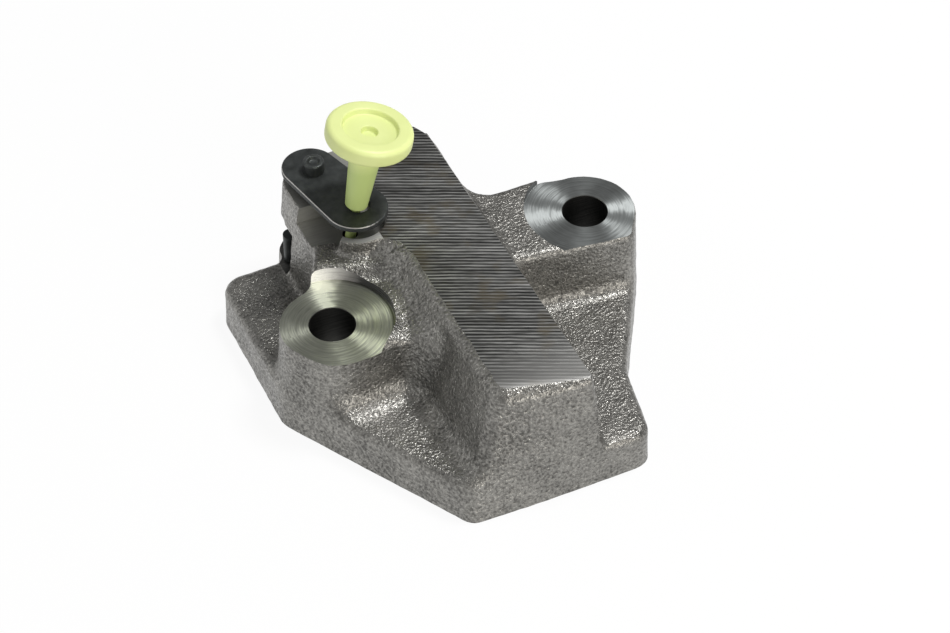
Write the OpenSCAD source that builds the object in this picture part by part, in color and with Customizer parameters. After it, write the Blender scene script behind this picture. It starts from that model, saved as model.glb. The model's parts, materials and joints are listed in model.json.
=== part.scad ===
// Timing chain tensioner: cast body, spring and oil loaded plunger, ratchet pawl with
// its lever, and the lock pin that holds it for transport.
// Millimetres. X runs across the plunger, Y along it towards its nose, Z up from the mounting face.
// The origin is midway between the two bolt holes, on the mounting face.

/* [Bolt pattern] */
// Distance between the bolt holes across the plunger
bolt_dx = 54; // [51:0.5:57]
// Distance between the bolt holes along the plunger
bolt_dy = 6; // [4:0.5:8]
// Bolt hole diameter
bolt_d = 8.5; // [6.6:0.1:9]
// Spot face diameter
spot_d = 23; // [21:0.5:24]
// Height of the left spot face
left_pad_h = 19.5; // [18:0.5:21]
// Height of the right spot face
right_pad_h = 21; // [19:0.5:22]

/* [Casting] */
// Height of the milled ridge over the plunger
ridge_h = 26; // [25:0.5:28]
// Width of the milled ridge top
ridge_w = 17.4; // [16:0.2:19]
// Ridge centre line across the plunger
ridge_x = -1.6; // [-2.4:0.2:-1]
// Thickness of the mounting flange
flange_h = 8.5; // [8:0.25:9]
// Near end of the casting, from the origin
near_len = 42.6; // [41:0.2:46]
// Machined far end of the casting, from the origin
far_len = 33.2; // [33:0.2:35]
// Left edge of the flange, from the origin
left_reach = 38.4; // [37:0.2:40]
// Far edge of the left flange lobe, from the origin
lobe_len = 27.5; // [26:0.5:29]
// Radius of the right bolt ear
ear_r = 10.5; // [9.5:0.25:11.5]
// Radius at the top of the left bolt boss
boss_r = 9.9; // [9.4:0.1:10.8]
// Mould draft of the outer walls, in degrees
draft = 2.5; // [1:0.5:4]
// Radius of the flange's corners
corner_r = 4.5; // [3:0.5:6]
// Cast fillet radius in the valley on the ridge's left
root_r = 4.5; // [3:0.5:6]
// Left wall of the ratchet tower at its top, from the origin
tower_reach = 23.4; // [22.8:0.2:24.4]
// Depth of the pocket milled under the lever's lock end
pocket_depth = 3.6; // [3:0.1:4]

/* [Plunger] */
// Plunger axis across the casting
axis_x = -3.4; // [-4:0.1:-3]
// Plunger axis above the mounting face
axis_z = 12.5; // [12.2:0.1:13]
// Plunger diameter
plunger_d = 14.5; // [13.8:0.1:15]
// Radial running clearance of the plunger
plunger_clear = 0.03; // [0.02:0.01:0.06]
// Length of the plunger
plunger_len = 60; // [56:1:62]
// Length of nose that stands out of the casting at rest
nose_out = 4.5; // [4:0.25:6]
// Bore of the hollow plunger
hollow_d = 9.8; // [9.6:0.1:10]
// Thickness of the plunger's nose
nose_wall = 6; // [5:0.5:7]
// Vent hole diameter in the nose
vent_d = 1.6; // [1:0.1:2]
// Wire of the plunger spring
spring_wire = 1.2; // [1:0.1:1.3]
// Turns of the plunger spring
spring_turns = 18; // [14:1:20]

/* [Ratchet] */
// Pitch of the rack teeth
tooth_pitch = 1.6; // [1.5:0.05:1.7]
// Slope of the rack teeth, in degrees
tooth_slope = 28; // [22:1:29]
// Plunger travel, in teeth
travel_teeth = 10; // [8:1:11]
// Depth of the flat that carries the rack
rack_depth = 1.05; // [0.9:0.05:1.2]
// Pawl pivot across the casting
pivot_x = -17.7; // [-18.1:0.1:-17.3]
// Pawl pivot along the casting
pivot_y = 26.9; // [26.5:0.1:27.1]
// Pivot pin diameter
pin_d = 4; // [3.6:0.1:4.4]
// Radial running clearance of the pivot pin
pin_clear = 0.04; // [0.02:0.01:0.08]
// Height of the pawl
pawl_h = 6.2; // [5.6:0.1:6.6]
// Clearance of the pawl above and below
pawl_clear = 0.15; // [0.1:0.05:0.3]
// Swing of the pawl from held clear to engaged, in degrees
pawl_swing = 7; // [6.6:0.1:7.6]
// Clearance of the engaged pawl teeth
mesh_clear = 0.06; // [0.04:0.01:0.1]

/* [Lever] */
// Lever plate thickness
plate_t = 1.2; // [1:0.1:1.6]
// Gap between the tower's top and the lever plate
plate_gap = 1.6; // [1.2:0.1:2]
// Radius of the plate's pivot end
plate_far_r = 5.2; // [4.8:0.1:5.6]
// Radius of the plate's lock end
plate_near_r = 5.5; // [5:0.1:5.8]
// Reach of the plate's pivot end beyond the pivot
plate_over = 1.4; // [1:0.1:1.8]
// Length of pivot pin that stands above the plate
stud_out = 2.4; // [2:0.1:3]
// Wire of the lever spring
lever_wire = 0.8; // [0.6:0.05:0.9]

/* [Lock pin] */
// Lock pin across the casting, at the plate
lock_x = -14.4; // [-14.7:0.1:-14.1]
// Lock pin along the casting, at the plate
lock_y = 14.6; // [14.2:0.1:15]
// Lean of the lock pin towards the ridge, in degrees
lock_lean = 10.8; // [9:0.2:12]
// Head diameter
head_d = 16.1; // [14:0.1:18]
// Head thickness
head_t = 3.4; // [3:0.1:4.5]
// Length of the tapered stem
stem_len = 14.2; // [12:0.2:18]
// Stem diameter at the plate
stem_foot_d = 4.2; // [4:0.1:5]
// Stem diameter under the head
stem_top_d = 6.4; // [6:0.1:8.5]
// Diameter of the blade that goes through the lever
blade_d = 2; // [1.6:0.1:2.2]
// Length of the blade below the stem
blade_len = 9; // [7:0.2:10]

/* [Valve] */
// Thickness of the valve seat
seat_t = 2.5; // [2:0.1:3]
// Oil hole through the seat
seat_hole_d = 3.6; // [3:0.1:4]
// Check ball diameter
ball_d = 5; // [4.6:0.1:5.2]
// Lift of the check ball
ball_lift = 0.8; // [0.5:0.05:1]
// Sheet thickness of the ball cage
cage_t = 0.5; // [0.4:0.05:0.6]
// Oil feed hole diameter
feed_d = 4; // [3:0.25:5]
// Length of the oil chamber behind the seat
chamber_len = 4.5; // [4:0.25:5.5]

/* [Hidden] */
$fn = 48;
eps = 0.01;
edge = 0.3;                                   // small edge break
edge_wide = 0.6;
far = 20;                                     // overshoot of cuts and of forms that the outline trims

left_bolt = [-bolt_dx / 2, -bolt_dy / 2];
right_bolt = [bolt_dx / 2, bolt_dy / 2];
pivot = [pivot_x, pivot_y];

// Casting outline
near_left_x = -17;
near_right_x = 18.6;
waist = [21.8, -26];
left_corner = 2.9;                            // from the left bolt to the flange's left corner
left_corner_y = left_bolt[1] - left_corner;
ear_back_y = right_bolt[1] + ear_r;
ridge_right = ridge_x + ridge_w / 2;
ridge_left = ridge_x - ridge_w / 2;
ridge_flare = 1.2;
ridge_foot_right = ridge_right + ridge_h * tan(draft) + ridge_flare;
shrink = 1 - ridge_h * tan(draft) / left_reach;

// Ridge: its near edge is skewed, and its left wall leans and spreads towards the tower
near_skew = 4.6;
near_step = 0.8;
left_lean = 6.4;
left_spread = 2;
spread_back = 1;                              // where the spread begins, on the near side of the left bolt
spread_y = left_bolt[1] - spread_back;
far_corner = 6;

// Boss, shoulder and ear: the shoulder is the web beside the left pad that ramps up to the tower
boss_rough = 0.9;                             // raw height above the machined pads
boss_foot = 0.9;
boss_root_r = 2.4;
boss_shift = [0.2, -0.5];
cheek_draft = 5.7;                            // of the outer wall beside the boss, in degrees
web_out = 6.1;                                // from the left bolt to the web's near side
web_skew = 21.8;                              // of the web's near side to the bolts, in degrees
web_r = 5;
ramp_from = 10.5;                             // from the web's near side to the foot of the ramp
ramp_to = 17.5;
shoulder_over = 0.5;                          // raw height above the pocket's floor
ear_root_r = 2.5;
ear_back = 0.7;
ear_skew = 7.5;
ear_front_y = right_bolt[1] - ear_r + ear_back;
right_root_r = 1.8;
wall_lean = 0.5;
tower_lean = 2.8;
tower_round = 5;                              // of the tower's far corner
flare_y = 12.8;                               // where the tower's left wall runs out to the boss
flare_run = 11;
flare_out = 6;

// Bore, valve and plunger
bore_d = plunger_d + 2 * plunger_clear;
plunger_tip = far_len + nose_out;
plunger_tail = plunger_tip - plunger_len;
hollow_end = plunger_tip - nose_wall;
valve_gap = 0.6;                              // between the ball cage and the plunger's tail
seat_ring = 0.35;                             // width of the ring on which the ball closes
seat_sink = sqrt(pow(ball_d / 2, 2) - pow(seat_hole_d / 2 + seat_ring, 2));
ball_spring_wire = 0.3;
ball_spring_r = 1.2;
ball_spring_len = 0.5;
ball_spring_gap = 0.03;
ball_rest = 0.01;
ball_y = seat_sink + ball_rest;               // ball centre above the seat
ball_spring_at = ball_d / 2 + ball_spring_wire / 2 + ball_spring_gap;
ball_spring_foot = ball_y + sqrt(pow(ball_spring_at, 2) - pow(ball_spring_r, 2));
cage_top = ball_y + ball_d / 2 + ball_lift + ball_spring_len;
cage_fit = 0.3;
window_w = 2;
window_edge = 0.7;
seat_top = plunger_tail - cage_top - cage_t - valve_gap;
bore_end = seat_top - seat_t;
chamber_d = 8;
feed_y = bore_end - chamber_len / 2;
spring_fit = 0.25;
spring_r = hollow_d / 2 - spring_fit - spring_wire / 2;
vent_disc_t = 2;
vent_disc_d = hollow_d;
vent_groove = 0.5;
groove_w = 0.8;
nose_chamfer = 2.2;
mouth_chamfer = 1;

// Rack and pawl: the pawl is drawn engaged, then turned clear by its swing
rack_x = axis_x - plunger_d / 2 + rack_depth;
tooth_depth = tooth_pitch / 2 * tan(tooth_slope);
pawl_teeth = 2;
pawl_back = 0.7;                              // from the far end to the pawl's last tooth
rack_spare = 2;                               // teeth beyond the pawl at the end of the travel
first_tip = far_len - pawl_back - tooth_pitch;
rack_teeth = travel_teeth + pawl_teeth + rack_spare + 1;
rack_start = first_tip - tooth_pitch * (travel_teeth + rack_spare + 0.5);
slot_floor = flange_h;
spring_room = 3;                              // for the lever's spring, above the pawl
slot_h = pawl_h + 2 * pawl_clear + spring_room;
hub_wall = 2.6;
hub_r = pin_d / 2 + hub_wall;
slot_gap = 0.8;
slot_mouth = 4.1;                             // from where the slot opens to the left to the pivot
slot_arm = 1.5;                               // from the pivot to the slot's near side at the pawl's arm
tail_len = 7;
tail_w = 3;
tail_turn = 4;
arm_w = 2.6;
arm_back = 1;

// Lever, its spring and the lock pin
pocket_z = ridge_h - pocket_depth;
plate_z = ridge_h + plate_gap;
plate_top = plate_z + plate_t;
pocket_in = 0.1;                              // of the pocket's round end, within the lever's lock end
pocket_out = 0.3;                             // shift of the pocket's round end towards the near end
pocket_r = plate_near_r - pocket_in;
pocket_at = [lock_x, lock_y - pocket_out];
pocket_edge = 2.65;                           // from the round end's centre to the pocket's near side
pocket_skew = 0.255;                          // slope of that side
step_back = 5.7;                              // from the pivot to the step down to the pocket
rim_wall = 1.6;                               // raw rim round the pocket's round end
rim_end = 4.5;                                // from the round end's centre to where the rim ends
lock_slope = tan(lock_lean);
arm = [lock_x - plate_t / 2 * lock_slope, lock_y] - pivot;
hole_shift = [-arm[1], arm[0]] * pawl_swing * PI / 360;
lock_hole_play = 0.12;
plate_hole_d = blade_d / cos(lock_lean) + 2 * norm(hole_shift) + plate_t * lock_slope + 2 * lock_hole_play;
stem_rest = 0.03;
stem_seat = stem_foot_d / 2 * sin(lock_lean) + stem_rest;
blade_tip_z = plate_top + stem_seat - blade_len * cos(lock_lean);
blade_run = (pocket_z - blade_tip_z) * lock_slope;
lock_hole_x = lock_x - (plate_top - pocket_z) * lock_slope - blade_run / 2;
lock_hole_d = blade_d / cos(lock_lean) + blade_run + 4 * lock_hole_play;
lock_hole_over = 0.8;
lock_hole_end = blade_tip_z - lock_hole_over;
pin_bottom = 3;                               // floor of the pivot pin's hole
pin_end_gap = 0.2;
lever_spring_turns = 1.5;
lever_spring_gap = 0.5;
lever_leg = 2.2;
lever_spring_r = pin_d / 2 + lever_spring_gap + lever_wire / 2;
rim_w = 2.8;                                  // of the lock pin's head, round its dish
dish_depth = 1.1;
dimple_d = 3.2;

CAST = [0.36, 0.35, 0.34];
STEEL = [0.62, 0.62, 0.64];
OXIDE = [0.10, 0.10, 0.11];
SPRING = [0.45, 0.46, 0.48];
PLASTIC = [0.86, 0.95, 0.50];

// Point where a line from p touches the right side of a circle
function touch(p, c, r) =
    let (v = c - p, d = norm(v), a = atan2(v[1], v[0]) - asin(r / d), l = sqrt(d * d - r * r))
    p + l * [cos(a), sin(a)];

// Coil of round wire along +Z, from z = 0 to z = len at the wire's centre, with a straight leg at each end
module coil(r, wire, len, turns, steps = 14, sides = 8, leg = 0) {
    n = round(turns * steps);
    legs = leg > 0 ? 1 : 0;
    points = [for (i = [-legs:n + legs], j = [0:sides - 1])
        let (t = max(0, min(1, i / n)), a = 360 * turns * t, b = 360 * j / sides,
             q = r + wire / 2 * cos(b), run = i < 0 ? -leg : i > n ? leg : 0)
        [q * cos(a) - run * sin(a), q * sin(a) + run * cos(a), len * t + wire / 2 * sin(b)]];
    last = n + 2 * legs;
    walls = [for (i = [0:last - 1], j = [0:sides - 1])
        let (k = (j + 1) % sides)
        [i * sides + j, (i + 1) * sides + j, (i + 1) * sides + k, i * sides + k]];
    ends = [[for (j = [0:sides - 1]) j], [for (j = [sides - 1:-1:0]) last * sides + j]];
    polyhedron(points, concat(walls, ends), convexity = 10);
}

// Turns a solid that runs along +Z to run along +Y on the plunger's axis, from y
module on_axis(y) {
    translate([axis_x, y, axis_z]) rotate([-90, 0, 0]) children();
}

// Flat pattern of the casting at the mounting face
module outline() {
    offset(r = -corner_r) offset(delta = corner_r)
    offset(r = corner_r) offset(delta = -corner_r)
    union() {
        polygon([
            [near_left_x, -near_len], [near_right_x, -near_len], waist,
            touch(waist, right_bolt, ear_r), right_bolt, [right_bolt[0], ear_back_y],
            [ridge_foot_right, ear_back_y], [ridge_foot_right, far_len + far / 4],
            [-tower_reach - tower_lean, far_len + far / 4], [-tower_reach - tower_lean, lobe_len],
            [-left_reach, lobe_len], [-left_reach, left_corner_y]]);
        translate(right_bolt) circle(ear_r);
    }
}

// Left wall of the ridge: its distance from the origin at height z, at the near end and beside the boss
function left_wall_near(z) = ridge_left - left_lean * (1 - z / ridge_h);
function left_wall_far(z) = left_wall_near(z) - left_spread * (1 - z / ridge_h);

// Right wall of the ridge: its distance from the origin at height z
function right_wall(z) = ridge_right + (ridge_foot_right - ridge_right) * (1 - z / ridge_h);

// Ridge over the plunger, from the mounting face to its milled top
module ridge() {
    near_y = -near_len - far / 4;
    hull() {
        linear_extrude(eps) polygon([
            [left_wall_near(0), near_y], [ridge_foot_right, near_y],
            [ridge_foot_right, far_len + far], [left_wall_far(0), far_len + far],
            [left_wall_far(0), spread_y]]);
        translate([0, 0, ridge_h - eps]) linear_extrude(eps) polygon([
            [left_wall_near(ridge_h), near_y], [ridge_right, near_y],
            [ridge_right, far_len - far_corner], [ridge_right - far_corner, far_len + far_corner],
            [left_wall_near(ridge_h), far_len + far_corner]]);
    }
}

// All that lies behind the near face, which stands upright on the right and leans back on the left
module behind_near_face() {
    reach = 3 * far;
    slope = near_skew / ridge_w;
    top_y = -near_len + near_step + slope * ridge_right;
    hull() {
        linear_extrude(eps) polygon([
            [-reach, -near_len], [reach, -near_len], [reach, reach], [-reach, reach]]);
        translate([0, 0, ridge_h]) linear_extrude(eps) polygon([
            [-reach, top_y + slope * reach], [reach, top_y - slope * reach],
            [reach, reach], [-reach, reach]]);
    }
}

// Plan of the tower with its left wall at x, and its far corner rounded
module tower_plan(x) {
    polygon(concat(
        [for (a = [180:-15:90]) [x + tower_round * (1 + cos(a)), far_len + eps + tower_round * (sin(a) - 1)]],
        [[ridge_x, far_len + eps], [ridge_x, -near_len], [x, -near_len]]));
}

// Plan of the foot that runs from the tower's left wall at x out to the boss
module flare_plan(x) {
    near_y = flare_y - flare_run;
    polygon([[x, flare_y], [x - flare_out, near_y], [x + flare_run, near_y], [x + flare_run, flare_y]]);
}

// Web, ramp and tower within the leaning left wall
module shoulder() {
    foot = -tower_reach - tower_lean;
    intersection() {
        union() {
            hull() {
                linear_extrude(eps) tower_plan(foot);
                translate([0, 0, ridge_h - eps]) linear_extrude(eps) tower_plan(-tower_reach);
            }
            hull() {
                linear_extrude(eps) flare_plan(foot);
                translate([0, 0, ridge_h - eps]) linear_extrude(eps) flare_plan(-tower_reach);
            }
        }
        union() {
            translate([left_bolt[0], left_bolt[1] - web_out, 0]) rotate(-web_skew)
                wall_with_fillet(-far, 2 * far, 4 * far, left_pad_h + boss_rough, web_r,
                                 [[ramp_from, left_pad_h + boss_rough], [ramp_to, pocket_z + shoulder_over]]);
            translate([-2 * far, pivot_y - step_back - edge, 0]) cube([2 * far, 2 * far, ridge_h]);
        }
    }
}

// Raw rim round the near side of the pocket's round end
module pocket_rim() {
    intersection() {
        translate(pocket_at) cylinder(r = pocket_r + rim_wall, h = ridge_h);
        translate([pocket_at[0] - rim_end, pocket_at[1] - far, 0]) cube([far, 2 * far, ridge_h]);
    }
}

// Boss round the left bolt, with a cast fillet at its foot
module boss() {
    top = left_pad_h + boss_rough;
    foot = boss_r + boss_foot;
    translate(left_bolt + boss_shift) rotate_extrude() difference() {
        polygon([[0, 0], [foot + boss_root_r, 0], [foot + boss_root_r, flange_h],
                 [foot, flange_h + boss_root_r], [boss_r, top], [0, top]]);
        translate([foot + boss_root_r, flange_h + boss_root_r]) circle(boss_root_r);
    }
}

// A wall drawn along X with its near side on Y = 0 and a fillet of radius r at its foot; ramp lists the
// points of a top that rises
module wall_with_fillet(x0, x1, depth, top, r, ramp = []) {
    end = len(ramp) > 0 ? ramp[len(ramp) - 1][1] : top;
    translate([x0, 0, 0]) rotate([90, 0, 90]) linear_extrude(x1 - x0) difference() {
        polygon(concat([[-r, 0], [-r, flange_h], [0, flange_h + r], [wall_lean, top]],
                       ramp, [[depth, end], [depth, 0]]));
        translate([-r, flange_h + r]) circle(r);
    }
}

// Fillet of radius r along the foot of the ridge on one side, from x at its near end to x + spread
// beside the boss
module ridge_fillet(x, spread, side, r) {
    run = spread_y + near_len;
    translate([x, -near_len, flange_h]) rotate(atan2(run, spread) - 90)
    translate([0, 2 * run, 0]) rotate([90, 0, 0]) linear_extrude(2 * run + far / 4)
    difference() {
        translate([side > 0 ? -far / 4 : -r, -eps]) square([far / 4 + r, r]);
        translate([side * r, r]) circle(r);
    }
}

// All that lies outside the outer wall beside the boss, which leans in more than the other walls
module beside_cheek() {
    corner = [-left_reach, left_corner_y];
    run = [near_left_x, -near_len] - corner;
    translate(corner) rotate(atan2(run[1], run[0]) - 90) rotate([0, -cheek_draft, 0])
        translate([0, -2 * far, -far]) cube([2 * far, 6 * far, 4 * far]);
}

module raw_casting() {
    left_top = flange_h + root_r;
    right_top = flange_h + right_root_r;
    difference() {
        intersection() {
            linear_extrude(ridge_h, scale = shrink) outline();
            behind_near_face();
            union() {
                translate([-far * 3, -far * 3, 0]) cube([far * 6, far * 6, flange_h]);
                ridge();
                shoulder();
                pocket_rim();
                boss();
                translate([right_bolt[0], ear_front_y, 0]) rotate(-ear_skew)
                    wall_with_fillet(-right_bolt[0], far, 2 * far, right_pad_h + boss_rough, ear_root_r);
                ridge_fillet(right_wall(right_top), 0, 1, right_root_r);
                ridge_fillet(left_wall_near(left_top), -left_spread * (1 - left_top / ridge_h), -1, root_r);
            }
        }
        beside_cheek();
    }
}

module bolt_cut(at, pad) {
    translate([at[0], at[1], -eps]) cylinder(d = bolt_d, h = ridge_h);
    translate([at[0], at[1], pad]) cylinder(d = spot_d, h = ridge_h);
}

// Slot for the pawl: round at its hub, open to the bore, the far end and the left
module pawl_slot() {
    translate([0, 0, slot_floor]) {
        translate(pivot) cylinder(r = hub_r + slot_gap, h = slot_h);
        translate([-tower_reach - far / 2, pivot_y - slot_mouth, 0])
            cube([tower_reach + far / 2 + pivot_x, far_len + far, slot_h]);
        translate([pivot_x, pivot_y - slot_arm, 0]) cube([axis_x - pivot_x, far_len + far, slot_h]);
    }
}

// Pocket milled under the lever's lock end: round at the right, open to the left, with a step at the tower
module lever_pocket() {
    right = pocket_at[0] + pocket_r;
    reach = tower_reach + far / 2;
    step_y = pivot_y - step_back;
    near_y = pocket_at[1] - pocket_edge;
    near_left = near_y + (pocket_at[0] + reach) * pocket_skew;
    translate([0, 0, pocket_z]) linear_extrude(far) union() {
        translate(pocket_at) circle(pocket_r);
        polygon([[-reach, near_left], [pocket_at[0], near_y], [right, pocket_at[1]],
                 [right, step_y], [-reach, step_y]]);
    }
}

module housing() {
    color(CAST) difference() {
        raw_casting();
        translate([-far * 3, far_len, -eps]) cube([far * 6, far, ridge_h + far]);
        bolt_cut(left_bolt, left_pad_h);
        bolt_cut(right_bolt, right_pad_h);
        lever_pocket();
        pawl_slot();
        translate([pivot_x, pivot_y, pin_bottom]) cylinder(d = pin_d + 2 * pin_clear, h = ridge_h);
        translate([lock_hole_x, lock_y, lock_hole_end]) cylinder(d = lock_hole_d, h = ridge_h);
        on_axis(bore_end) cylinder(d = bore_d, h = far_len - bore_end + far);
        on_axis(far_len - mouth_chamfer)
            cylinder(d1 = bore_d, d2 = bore_d + 4 * mouth_chamfer, h = 2 * mouth_chamfer);
        on_axis(bore_end - chamber_len) cylinder(d = chamber_d, h = chamber_len + eps);
        translate([axis_x, feed_y, -eps]) cylinder(d = feed_d, h = axis_z);
    }
}

// Zigzag of the rack in plan, from its roots out past the plunger's side
module rack_cut() {
    span = rack_teeth * tooth_pitch;
    translate([0, 0, axis_z - plunger_d / 2]) linear_extrude(plunger_d)
        translate([rack_x, rack_start]) polygon(concat(
            [[-far, -1]], [[0, 0]],
            [for (i = [0:rack_teeth - 1]) each [
                [tooth_depth, (i + 0.5) * tooth_pitch], [0, (i + 1) * tooth_pitch]]],
            [[-far, span + 1]]));
}

module plunger() {
    color(STEEL) difference() {
        on_axis(plunger_tail) rotate_extrude() polygon([
            [hollow_d / 2, 0], [plunger_d / 2 - edge_wide, 0], [plunger_d / 2, edge_wide],
            [plunger_d / 2, plunger_len - nose_chamfer], [plunger_d / 2 - nose_chamfer, plunger_len],
            [vent_d / 2, plunger_len], [vent_d / 2, plunger_len - nose_wall],
            [hollow_d / 2, plunger_len - nose_wall]]);
        rack_cut();
    }
}

// Disc in the nose end of the hollow, with a ring groove and a cross groove that bleed air
module vent_disc() {
    color(STEEL) difference() {
        on_axis(hollow_end - vent_disc_t) cylinder(d = vent_disc_d, h = vent_disc_t);
        on_axis(hollow_end - vent_groove) difference() {
            cylinder(d = vent_disc_d * 0.55, h = vent_disc_t);
            translate([0, 0, -eps]) cylinder(d = vent_disc_d * 0.35, h = vent_disc_t + 2 * eps);
        }
        on_axis(hollow_end - vent_groove) translate([-groove_w / 2, -vent_disc_d, 0])
            cube([groove_w, vent_disc_d * 2, vent_disc_t]);
    }
}

module plunger_spring() {
    foot = seat_top + cage_t + spring_wire / 2;
    head = hollow_end - vent_disc_t - spring_wire / 2;
    color(SPRING) on_axis(foot) coil(spring_r, spring_wire, head - foot, spring_turns);
}

// Disc pressed to the bottom of the bore, with an oil hole and a seat for the ball
module valve_seat() {
    color(STEEL) on_axis(bore_end) difference() {
        cylinder(d = bore_d, h = seat_t);
        translate([0, 0, -eps]) cylinder(d = seat_hole_d, h = seat_t + 2 * eps);
        translate([0, 0, seat_t + seat_sink]) sphere(d = ball_d);
    }
}

module check_ball() {
    color(STEEL) on_axis(seat_top + ball_y) sphere(d = ball_d);
}

module ball_spring() {
    run = cage_top - ball_spring_foot - ball_spring_wire / 2;
    color(SPRING) on_axis(seat_top + ball_spring_foot)
        coil(ball_spring_r, ball_spring_wire, run, 3, 12, 6);
}

// Pressed sheet cup over the ball, with a flange that the plunger spring holds down
module ball_cage() {
    cup_r = ball_d / 2 + cage_fit;
    flange_r = spring_r + spring_wire / 2;
    color(SPRING) on_axis(seat_top) difference() {
        union() {
            cylinder(r = flange_r, h = cage_t);
            cylinder(r = cup_r + cage_t, h = cage_top + cage_t);
        }
        translate([0, 0, -eps]) cylinder(r = cup_r, h = cage_top + eps);
        translate([0, 0, cage_top - eps]) cylinder(r = ball_spring_r * 0.75, h = cage_t + 2 * eps);
        for (a = [0:90:270]) rotate(a) translate([cup_r / 2, -window_w / 2, cage_t + window_edge])
            cube([cup_r, window_w, cage_top - cage_t - 2 * window_edge]);
    }
}

// Pawl in plan, engaged with the rack, about the pivot
module pawl_plan() {
    tip = [rack_x + tooth_depth - mesh_clear, first_tip] - pivot;
    crest = tip[0] - tooth_depth;
    end = tip[1] + (pawl_teeth - 1) * tooth_pitch + tooth_pitch / 2;
    start = tip[1] - tooth_pitch / 2;
    difference() {
        union() {
            circle(hub_r);
            polygon(concat(
                [[0, -hub_r], [crest - arm_back, start - arm_w], [crest, start]],
                [for (i = [0:pawl_teeth - 1]) each [
                    [tip[0], tip[1] + i * tooth_pitch], [crest, tip[1] + (i + 0.5) * tooth_pitch]]],
                [[crest - arm_back, end], [0, hub_r]]));
            rotate(-tail_turn) {
                translate([tail_w / 2 - tail_len, -tail_w / 2]) square([tail_len - tail_w / 2, tail_w]);
                translate([tail_w / 2 - tail_len, 0]) circle(d = tail_w);
            }
        }
        circle(d = pin_d);
    }
}

module pawl() {
    color(OXIDE) translate([pivot_x, pivot_y, slot_floor + pawl_clear]) rotate(pawl_swing)
        linear_extrude(pawl_h) pawl_plan();
}

// Pin through lever, tower and pawl, with a small centre dimple on top
module pivot_pin() {
    foot = pin_bottom + pin_end_gap;
    top = plate_top + stud_out;
    color(OXIDE) translate([pivot_x, pivot_y, 0]) rotate_extrude() polygon([
        [0, foot], [pin_d / 2 - edge, foot], [pin_d / 2, foot + edge],
        [pin_d / 2, top - edge], [pin_d / 2 - edge, top], [pin_d / 4, top], [0, top - pin_d / 6]]);
}

module plate_plan() {
    lock = [lock_x, lock_y];
    hull() {
        translate(pivot + (pivot - lock) / norm(pivot - lock) * plate_over) circle(plate_far_r, $fn = 64);
        translate(lock) circle(plate_near_r, $fn = 64);
    }
}

module lever_plate() {
    hole = pivot + arm + hole_shift;
    color(OXIDE) translate([0, 0, plate_z]) difference() {
        linear_extrude(plate_t) plate_plan();
        translate([pivot_x, pivot_y, -eps]) cylinder(d = pin_d, h = plate_t + 2 * eps);
        translate([hole[0], hole[1], -eps]) cylinder(d = plate_hole_d, h = plate_t + 2 * eps);
    }
}

// Torsion spring on the pivot pin, between the pawl and the slot's ceiling
module lever_spring() {
    rise = lever_wire * 1.05 * lever_spring_turns;
    color(SPRING) translate([pivot_x, pivot_y, slot_floor + slot_h - lever_wire / 2 - rise])
        coil(lever_spring_r, lever_wire, rise, lever_spring_turns, 24, 8, lever_leg);
}

// Moulded pin: blade, tapered stem, and a dished head to pull on
module lock_pin() {
    top = stem_len + head_t;
    dish_r = head_d / 2 - rim_w;
    dish_z = top - dish_depth;
    color(PLASTIC) translate([lock_x, lock_y, plate_top + stem_seat]) rotate([0, lock_lean, 0])
        rotate_extrude() polygon([
            [0, -blade_len], [blade_d / 2 - edge, -blade_len], [blade_d / 2, -blade_len + edge_wide],
            [blade_d / 2, 0], [stem_foot_d / 2 - edge, 0], [stem_foot_d / 2, edge],
            [stem_top_d / 2, stem_len], [head_d / 2 - edge_wide, stem_len],
            [head_d / 2, stem_len + edge_wide], [head_d / 2, top - edge_wide],
            [head_d / 2 - edge_wide, top], [dish_r, top],
            [dish_r - edge, dish_z], [dimple_d / 2, dish_z], [dimple_d / 2 - edge, dish_z - dish_depth],
            [0, dish_z - dish_depth]]);
}

housing();
plunger();
vent_disc();
plunger_spring();
valve_seat();
check_ball();
ball_spring();
ball_cage();
pawl();
pivot_pin();
lever_plate();
lever_spring();
lock_pin();
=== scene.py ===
import json
import math

import bpy
import numpy as np
from mathutils import Matrix

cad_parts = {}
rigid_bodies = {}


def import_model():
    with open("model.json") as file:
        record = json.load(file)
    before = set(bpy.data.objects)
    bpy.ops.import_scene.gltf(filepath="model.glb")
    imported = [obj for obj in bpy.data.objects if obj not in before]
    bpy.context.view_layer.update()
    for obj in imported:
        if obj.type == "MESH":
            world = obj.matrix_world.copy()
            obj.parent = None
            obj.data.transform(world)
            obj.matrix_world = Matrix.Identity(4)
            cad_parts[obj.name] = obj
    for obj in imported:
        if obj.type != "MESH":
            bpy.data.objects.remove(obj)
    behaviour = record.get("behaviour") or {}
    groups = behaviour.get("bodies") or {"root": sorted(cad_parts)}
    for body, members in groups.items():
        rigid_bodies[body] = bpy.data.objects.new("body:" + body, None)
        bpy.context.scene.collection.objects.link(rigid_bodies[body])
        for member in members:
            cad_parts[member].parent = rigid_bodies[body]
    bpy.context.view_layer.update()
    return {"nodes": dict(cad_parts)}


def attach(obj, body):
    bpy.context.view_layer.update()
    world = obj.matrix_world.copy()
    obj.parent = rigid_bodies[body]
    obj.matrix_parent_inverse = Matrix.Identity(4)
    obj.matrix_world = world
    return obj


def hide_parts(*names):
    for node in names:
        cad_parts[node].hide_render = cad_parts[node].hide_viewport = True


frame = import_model()

MM = 0.001

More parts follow.
